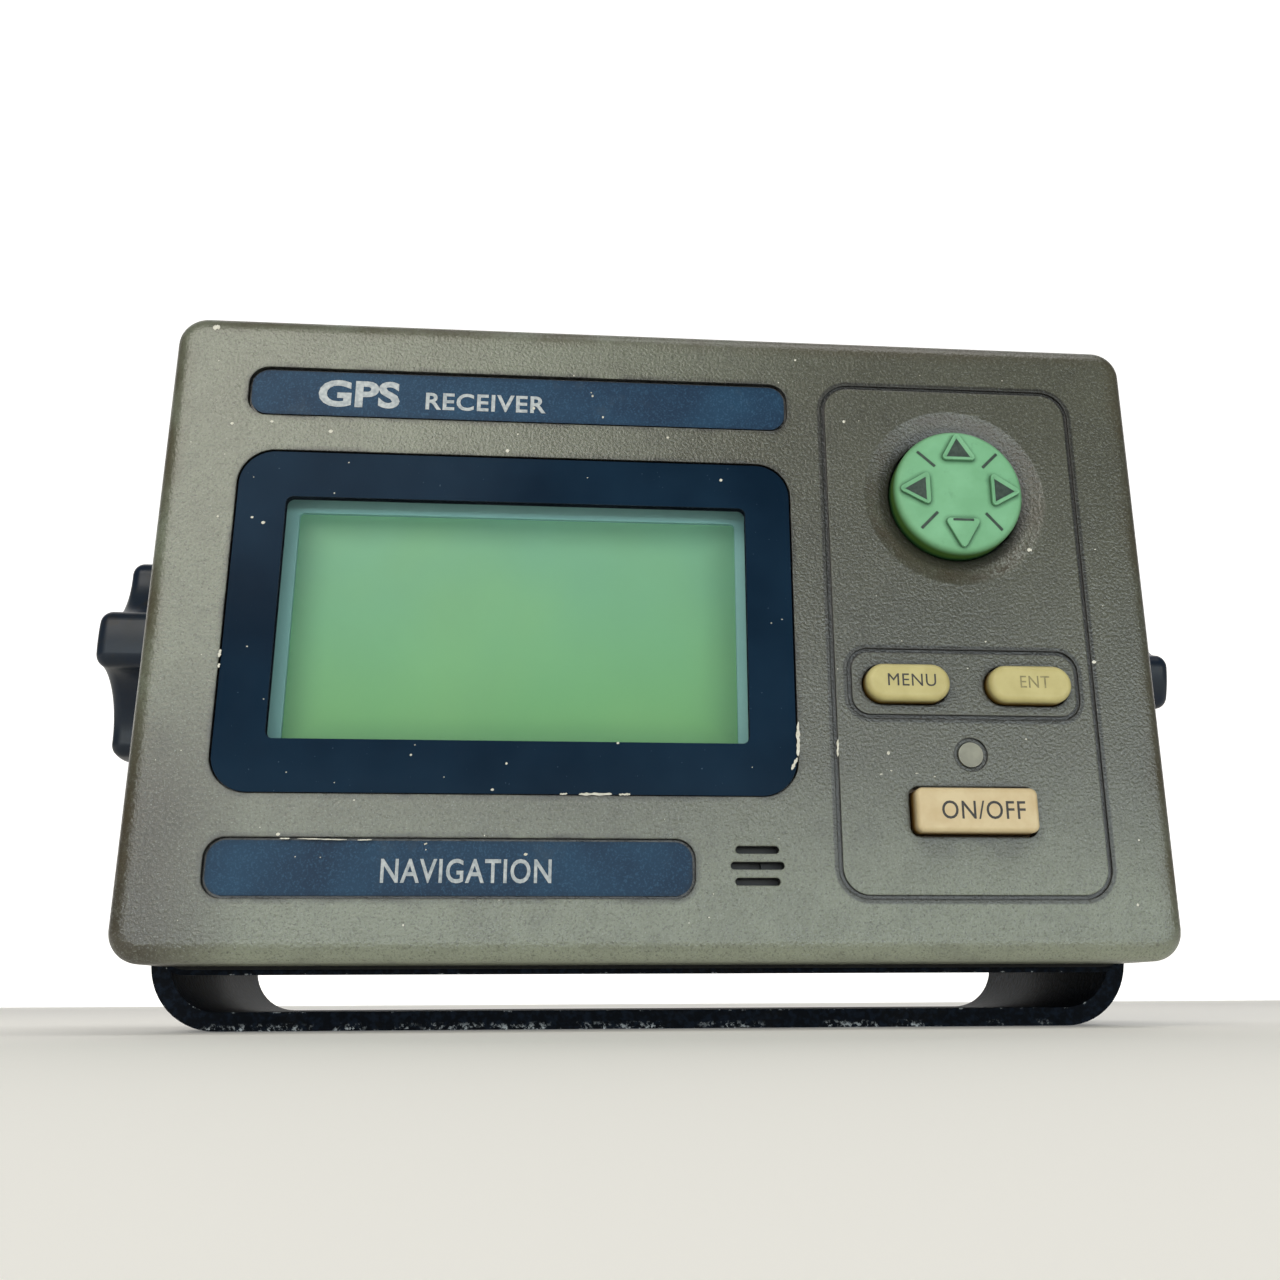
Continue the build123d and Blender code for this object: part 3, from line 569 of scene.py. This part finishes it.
finishes = {
    "sandTextureAbs": sandTextureAbs(),
    "texturedNavyPaint": texturedNavyPaint("texturedNavyPaint", False),
    "bracketPaint": texturedNavyPaint("bracketPaint", True),
    "starKnobPhenolic": starKnobPhenolic(),
    "windowAcrylic": windowAcrylic(),
    "ledEpoxy": plainFinish("ledEpoxy", "#9b9b90", "#8a8a80", 0.25),
    "navyScreenInk": navyScreenInk(),
    "liquidCrystal": liquidCrystal(),
    "displayBezelTin": displayBezelTin(),
    "printedLabelFilm": printedLabelFilm(),
    "mintRubber": mintRubber(),
    "keyYellow": yellowedKey("keyYellow", "#c2b77f", "#b6aa72", "#6d5420"),
    "keyTan": yellowedKey("keyTan", "#d1be96", "#c5ae84", "#7a5a2a"),
    # screen-printed inks: flat films, thinner and paler where fingers have rubbed
    "legendInk": plainFinish("legendInk", "#2d2c2c", "#45423f", 0.6, featureMm=0.8),
    "wornLegendInk": plainFinish("wornLegendInk", "#77704c", "#938a60", 0.6, featureMm=0.8),
    "silverInk": plainFinish("silverInk", "#b9bdbd", "#8f979c", 0.5, featureMm=0.7),
    "padInk": plainFinish("padInk", "#22332c", "#3a4a40", 0.6, featureMm=0.8),
    # moulded plastics and rubbers: one even colour through, with a soft sheen
    "lampLens": plainFinish("lampLens", "#8f8e7e", "#7d7c6e", 0.3, featureMm=2.0),
    "spongeRubber": plainFinish("spongeRubber", "#0c0d0d", "#191a1a", 0.85, featureMm=1.0, bumpMm=0.1),
    "siliconeMat": plainFinish("siliconeMat", "#4a4f52", "#5a5f61", 0.6),
    "blackNylon": plainFinish("blackNylon", "#161718", "#232526", 0.5),
    "solderMask": plainFinish("solderMask", "#12502c", "#1c6238", 0.35, featureMm=3.0),
    "chipEpoxy": plainFinish("chipEpoxy", "#131416", "#1e2022", 0.45),
    "whiteGuide": plainFinish("whiteGuide", "#dfe3d2", "#cfd4c0", 0.4),
    # turned, plated and drawn metals: bright where handled, clouded by air
    "zincSteel": plainFinish("zincSteel", "#b9bcbf", "#9da1a4", 0.32, 1.0, 3.0),
    "turnedBrass": plainFinish("turnedBrass", "#c9a45c", "#b08c48", 0.3, 1.0, 3.0),
    "nickelPlate": plainFinish("nickelPlate", "#b7b5ae", "#98968f", 0.25, 1.0, 3.0),
    "tinnedSteel": plainFinish("tinnedSteel", "#a9adae", "#8f9394", 0.38, 1.0, 4.0),
    "anodisedFoil": plainFinish("anodisedFoil", "#aeb1b3", "#9a9da0", 0.45, 1.0, 5.0),
    # extruded and cast whites and greys: satin, faintly yellowed
    "ribbonVinyl": plainFinish("ribbonVinyl", "#8d8f8c", "#9c9e9a", 0.5),
    "whiteFluoropolymer": plainFinish("whiteFluoropolymer", "#e8e7e0", "#d9d8d0", 0.4),
    "paleChip": plainFinish("paleChip", "#dcd9cc", "#c3bfae", 0.7, featureMm=0.8),
}

nodeFinishes = {
    "sandTextureAbs": ["front_bezel"],
    "texturedNavyPaint": ["rear_case"],
    "bracketPaint": ["bracket"],
    "starKnobPhenolic": ["left_knob", "right_knob"],
    "windowAcrylic": ["display_lens"],
    "ledEpoxy": ["status_led"],
    "navyScreenInk": ["lens_mask"],
    "liquidCrystal": ["lcd_glass"],
    "displayBezelTin": ["lcd_frame"],
    "printedLabelFilm": ["upper_label", "lower_label"],
    "keyYellow": ["menu_key", "enter_key"],
    "keyTan": ["power_key"],
    "lampLens": ["status_lamp"],
    "spongeRubber": ["case_gasket", "lens_adhesive", "left_friction_washer", "right_friction_washer"],
    "siliconeMat": ["keypad_mat"],
    "blackNylon": ["pad_rocker", "pad_socket", "sounder", "power_insert"],
    "solderMask": ["lcd_board", "keypad_board", "main_board"],
    "chipEpoxy": ["board_chips", "board_headers"],
    "whiteGuide": ["lcd_backlight"],
    "zincSteel": ["case_screws", "board_screws", "display_screws", "keypad_screws", "left_knob_stud",
                  "right_knob_stud", "left_clamp_washer", "right_clamp_washer", "backup_battery"],
    "turnedBrass": ["display_spacers", "case_inserts", "power_pins"],
    "nickelPlate": ["antenna_socket", "antenna_nut", "power_socket", "power_nut"],
    "tinnedSteel": ["receiver_can"],
    "anodisedFoil": ["rating_plate"],
    "ribbonVinyl": ["display_ribbon", "keypad_ribbon"],
    "whiteFluoropolymer": ["antenna_core"],
}
for finish, members in nodeFinishes.items():
    for node in members:
        nodes[node].data.materials.clear()
        nodes[node].data.materials.append(finishes[finish])
print("materials on", sum(len(m) for m in nodeFinishes.values()), "nodes")


def finishPiece(bm, name, material, body, smoothAngle=35):
    bmesh.ops.remove_doubles(bm, verts=bm.verts, dist=1e-6)
    bmesh.ops.recalc_face_normals(bm, faces=bm.faces)
    mesh = bpy.data.meshes.new(name)
    bm.to_mesh(mesh)
    bm.free()
    piece = bpy.data.objects.new(name, mesh)
    bpy.context.scene.collection.objects.link(piece)
    mesh.materials.append(finishes[material])
    mesh.shade_smooth()
    mesh.set_sharp_from_angle(angle=math.radians(smoothAngle))
    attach(piece, body)
    return piece


def extrudeBy(bm, faces, vector):
    lift = bmesh.ops.extrude_face_region(bm, geom=faces)
    moved = [v for v in lift["geom"] if isinstance(v, bmesh.types.BMVert)]
    bmesh.ops.translate(bm, verts=moved, vec=vector)


def roundEdges(bm, edges, offset, segments):
    bmesh.ops.bevel(bm, geom=edges, offset=offset, affect="EDGES", segments=segments, profile=0.5, material=-1)


def spinProfile(bm, points, centre, steps=96):
    # turns (radius, y) points about the Y line through centre
    verts = [bm.verts.new((centre.x + radius, y, centre.z)) for radius, y in points]
    edges = [bm.edges.new(pair) for pair in zip(verts, verts[1:])]
    bmesh.ops.spin(bm, geom=verts + edges, cent=centre, axis=(0, 1, 0), angle=2 * math.pi, steps=steps,
                   use_merge=True)
    bmesh.ops.remove_doubles(bm, verts=bm.verts, dist=1e-7)


padSet = {
    "radius": 11.2, "crownRadius": 70.0, "crown": -3.5, "shoulder": 1.1, "back": 2.6, "hollow": (6.6, 0.4),
    "arrowAt": 7.1, "arrowRadius": 3.75, "arrowRise": 0.65, "arrowCorner": 1.15, "rimWidth": 0.72,
    "rimRound": 0.17, "rimDepth": 0.42, "inkRadius": 2.35, "inkBelow": 0.36,
    "wornInk": (3.6, 0.42), "wornInkAt": 1.42, "wornInkSink": 0.56,
    "tickFrom": 5.9, "tickTo": 9.9, "tickWidth": 0.46, "tickSink": 0.08, "inkThick": 0.3, "inkRound": 0.05,
}


def padDepth(radiusMm):
    # depth of the crowned face, in metres, at a radius from the middle of the pad
    drop = padSet["crownRadius"] - math.sqrt(padSet["crownRadius"] ** 2 - radiusMm ** 2)
    return faceY + (padSet["crown"] + drop) * mm


def buildPad():
    centre = middle("direction_pad")
    centre.y = 0
    bm = bmesh.new()
    edgeR = padSet["shoulder"]
    flat = padSet["radius"] - edgeR
    profile = [(r * mm, padDepth(r)) for r in (0, 2, 4, 6, 8, 9.2, flat)]
    start = padDepth(flat)
    for k in range(1, 7):
        turn = math.radians(15 * k)
        profile.append(((flat + edgeR * math.sin(turn)) * mm, start + edgeR * (1 - math.cos(turn)) * mm))
    hollowR, hollowY = padSet["hollow"]
    profile += [(padSet["radius"] * mm, faceY), (padSet["radius"] * mm, faceY + padSet["back"] * mm),
                (hollowR * mm, faceY + padSet["back"] * mm), (hollowR * mm, faceY + hollowY * mm),
                (0, faceY + hollowY * mm)]
    spinProfile(bm, profile, centre)
    pad = finishPiece(bm, "directionPad", "mintRubber", "direction_pad", 50)
    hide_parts("direction_pad")
    return centre


def buildArrow(solid):
    # three-sided raised rim that points outwards; the worn one is filled to its top
    radius = padSet["arrowRadius"] * mm
    rise = padSet["arrowRise"] * mm
    bm = bmesh.new()
    bmesh.ops.create_circle(bm, cap_ends=True, segments=3, radius=radius)
    extrudeBy(bm, bm.faces[:], (0, 0, 2 * rise))
    uprights = [e for e in bm.edges if abs(e.verts[0].co.z - e.verts[1].co.z) > rise]
    roundEdges(bm, uprights, padSet["arrowCorner"] * mm, 5)
    cap = max(bm.faces, key=lambda f: f.calc_center_median().z)
    if not solid:
        bmesh.ops.inset_region(bm, faces=[cap], thickness=padSet["rimWidth"] * mm, depth=0)
        bmesh.ops.translate(bm, verts=cap.verts, vec=(0, 0, -padSet["rimDepth"] * mm))
    rims = [e for e in bm.edges if all(v.co.z > 1.9 * rise for v in e.verts)]
    roundEdges(bm, rims, padSet["rimRound"] * mm, 3)
    return bm


def placeOnPad(bm, centre, angle, at, sink):
    # local +Y points outwards, local +Z out of the face
    tilt = math.asin(at / padSet["crownRadius"])
    out = Matrix.Rotation(-tilt, 4, "X")
    stand = Matrix.Rotation(math.pi / 2, 4, "X")                 # +Z to -Y, +Y to +Z
    spin = Matrix.Rotation(angle, 4, "Y")
    place = Matrix.Translation((centre.x, padDepth(at) + sink, centre.z))
    slide = Matrix.Translation((0, at * mm, 0))
    bm.transform(place @ spin @ stand @ slide @ out)


def buildInk(width, length):
    bm = bmesh.new()
    bmesh.ops.create_cube(bm, size=1)
    bmesh.ops.scale(bm, verts=bm.verts, vec=(width * mm, length * mm, padSet["inkThick"] * mm))
    roundEdges(bm, bm.edges[:], padSet["inkRound"] * mm, 2)
    return bm


def buildPadMarks(centre):
    at = padSet["arrowAt"]
    rise = padSet["arrowRise"] * mm
    for name, turn in (("Up", 0), ("Right", 90), ("Down", 180), ("Left", 270)):
        angle = math.radians(turn)
        worn = name == "Down"
        bm = buildArrow(worn)
        placeOnPad(bm, centre, angle, at, rise)
        finishPiece(bm, "arrowRim" + name, "mintRubber", "direction_pad", 40)
        if worn:
            bm = buildInk(*padSet["wornInk"])
            placeOnPad(bm, centre, angle, at - padSet["wornInkAt"], -padSet["wornInkSink"] * mm)
        else:
            bm = bmesh.new()
            bmesh.ops.create_circle(bm, cap_ends=True, segments=3, radius=padSet["inkRadius"] * mm)
            extrudeBy(bm, bm.faces[:], (0, 0, 2 * rise - padSet["inkBelow"] * mm))
            placeOnPad(bm, centre, angle, at, rise)
        finishPiece(bm, "arrowInk" + name, "padInk", "direction_pad", 40)
    near, far = padSet["tickFrom"], padSet["tickTo"]
    for k in range(4):
        bm = buildInk(padSet["tickWidth"], far - near)
        placeOnPad(bm, centre, math.radians(45 + 90 * k), (far + near) / 2, padSet["tickSink"] * mm)
        finishPiece(bm, "padTick" + str(k + 1), "padInk", "direction_pad", 40)


buildPadMarks(buildPad())
print("direction pad built")

inkFilm = 0.06 * mm

legendSet = {
    # name: (text, node it is printed on, x and z from its middle, width, height, letter spacing, fattening,
    #        material, body, slot), lengths in millimetres
    "menuLegend": ("MENU", "menu_key", 0.45, 0.25, 8.0, 2.05, 1.08, 0.0, "legendInk", "menu_key", "key_yellow"),
    "enterLegend": ("ENT", "enter_key", 0.55, 0.22, 4.95, 2.0, 1.08, 0.0, "wornLegendInk", "enter_key",
                    "key_yellow"),
    "powerLegend": ("ON/OFF", "power_key", 0.85, -0.05, 13.6, 2.9, 1.08, 0.004, "legendInk", "power_key",
                    "key_tan"),
    "gpsLegend": ("GPS", "upper_label", -27.6, 0.1, 13.6, 5.0, 1.02, 0.034, "silverInk", "display_unit",
                  "label_film"),
    "receiverLegend": ("RECEIVER", "upper_label", -6.2, -0.75, 20.4, 3.2, 1.08, 0.020, "silverInk",
                       "display_unit", "label_film"),
    "navigationLegend": ("NAVIGATION", "lower_label", 2.1, -0.4, 26.0, 3.7, 1.08, 0.014, "silverInk",
                         "display_unit", "label_film"),
}


def buildLegend(name, text, node, offX, offZ, width, height, spacing, fatten, material, body, slot):
    low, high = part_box(node)
    curve = bpy.data.curves.new(name, "FONT")
    curve.body = text
    curve.size = 1.0
    curve.space_character = spacing
    curve.offset = fatten
    curve.align_x = "CENTER"
    curve.align_y = "CENTER"
    curve.extrude = 0.5
    curve.resolution_u = 4
    draft = bpy.data.objects.new(name + "Draft", curve)
    bpy.context.scene.collection.objects.link(draft)
    bpy.context.view_layer.update()
    mesh = bpy.data.meshes.new_from_object(draft.evaluated_get(bpy.context.evaluated_depsgraph_get()))
    bpy.data.objects.remove(draft)
    across = [v.co.x for v in mesh.vertices]
    upright = [v.co.y for v in mesh.vertices]
    wide, tall = max(across) - min(across), max(upright) - min(upright)
    mesh.transform(Matrix.Translation((-(max(across) + min(across)) / 2, -(max(upright) + min(upright)) / 2, 0)))
    mid = (low + high) / 2
    mesh.transform(Matrix.Diagonal((width * mm / wide, height * mm / tall, inkFilm, 1)))
    mesh.transform(Matrix.Rotation(math.pi / 2, 4, "X"))
    mesh.transform(Matrix.Translation((mid.x + offX * mm, low.y, mid.z + offZ * mm)))
    bm = bmesh.new()
    bm.from_mesh(mesh)
    bpy.data.meshes.remove(mesh)
    finishPiece(bm, name, material, body, 30)


for name, row in legendSet.items():
    buildLegend(name, *row)
print("legends built")

speckSet = {
    "count": 75, "seed": 7, "smallest": 0.09, "largest": 0.36, "flatness": 0.35,
    "edgeKeep": 4, "padKeep": 4.5, "keep": 0.6, "insideKeep": 0.4,
}


def insideNode(node, x, z, grow=0.0):
    low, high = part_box(node)
    return low.x - grow < x < high.x + grow and low.z - grow < z < high.z + grow


def insideWindow(x, z):
    (midX, midZ), (wide, tall) = printEdge["mid"], printEdge["extent"]
    return abs(x - midX) < wide / 2 and abs(z - midZ) < tall / 2


def faceLevel(x, z):
    # depth of the surface under a speck, or None where there is no plain surface
    for node in ("direction_pad", "menu_key", "enter_key", "power_key"):
        keep = speckSet["padKeep"] if node == "direction_pad" else speckSet["keep"]
        if insideNode(node, x, z, keep * mm):
            return None
    for node in ("display_lens", "upper_label", "lower_label"):
        if insideNode(node, x, z, speckSet["keep"] * mm):
            inner = insideNode(node, x, z, -speckSet["insideKeep"] * mm) and not insideWindow(x, z)
            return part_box(node)[0].y if inner else None
    return faceY


def buildSpecks():
    # dried spots of white paint on the face
    draw = random.Random(speckSet["seed"])
    bm = bmesh.new()
    placed = 0
    keep = speckSet["edgeKeep"] * mm
    while placed < speckSet["count"]:
        x = draw.uniform(bezelLow.x + keep, bezelHigh.x - keep)
        z = draw.uniform(bezelLow.z + keep, bezelHigh.z - keep)
        level = faceLevel(x, z)
        radius = speckSet["smallest"] + (speckSet["largest"] - speckSet["smallest"]) * draw.random() ** 4
        stretch = draw.uniform(0.8, 1.5)
        if level is None:
            continue
        new = bmesh.ops.create_icosphere(bm, subdivisions=1, radius=radius * mm)["verts"]
        bmesh.ops.scale(bm, verts=new, vec=(stretch, speckSet["flatness"], 1))
        bmesh.ops.translate(bm, verts=new, vec=(x, level, z))
        placed += 1
    finishPiece(bm, "paintSpecks", "paleChip", "display_unit", 60)


buildSpecks()

# chips of pale filler on the edges of the window and the face: x and z from the middle of the lens, length and
# breadth in millimetres, turn in degrees
chipSet = {
    "seed": 11, "steps": 13, "sunk": 0.05, "thick": 0.12,
    "chips": [(46.15, -19.2, 5.6, 0.75, 88), (45.5, -23.2, 2.2, 0.6, 62), (13.6, -28.35, 5.2, 0.6, 1),
              (18.2, -28.35, 1.8, 0.45, 2), (8.6, -28.35, 1.2, 0.35, 3), (-28.0, -35.62, 7.4, 0.22, -1),
              (-21.6, -35.7, 2.2, 0.2, 2), (-33.6, -35.55, 1.5, 0.26, 0), (-12.4, -36.2, 0.5, 0.3, 20),
              (-46.05, -6.6, 1.3, 0.6, 85), (-46.0, -8.6, 0.7, 0.4, 80), (52.6, -20.6, 2.8, 0.45, 87),
              (-52.1, 50.8, 1.2, 1.1, 10), (59.5, -24.8, 0.45, 0.26, 8), (61.2, -24.2, 0.35, 0.25, -12),
              (65.4, -24.6, 0.5, 0.2, 4), (68.3, -25.1, 0.3, 0.25, 0), (87.5, 14.2, 0.8, 0.7, 0)],
}


def buildChips():
    draw = random.Random(chipSet["seed"])
    bm = bmesh.new()
    steps = chipSet["steps"]
    for offX, offZ, length, breadth, turn in chipSet["chips"]:
        x, z = lensMid.x + offX * mm, lensMid.z + offZ * mm
        level = faceY
        for node in ("display_lens", "lower_label"):
            if insideNode(node, x, z, chipSet["sunk"] * mm):
                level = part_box(node)[0].y
        upper, lower = [], []
        for k in range(steps + 1):
            along = (k / steps - 0.5) * length * mm
            swell = min(1.0, 2.2 * math.sin(math.pi * (k + 0.5) / (steps + 1))) * breadth * mm / 2
            upper.append((along, swell * draw.uniform(0.35, 1.0)))
            lower.append((along, -swell * draw.uniform(0.35, 1.0)))
        outline = upper + lower[::-1]
        spin = Matrix.Rotation(math.radians(turn), 2)
        verts = []
        for point in outline:
            flat = spin @ Vector(point)
            verts.append(bm.verts.new((x + flat.x, level - chipSet["sunk"] * mm, z + flat.y)))
        extrudeBy(bm, [bm.faces.new(verts)], (0, chipSet["thick"] * mm, 0))
    finishPiece(bm, "paleChips", "paleChip", "display_unit", 30)


buildChips()
print("specks and chips built")
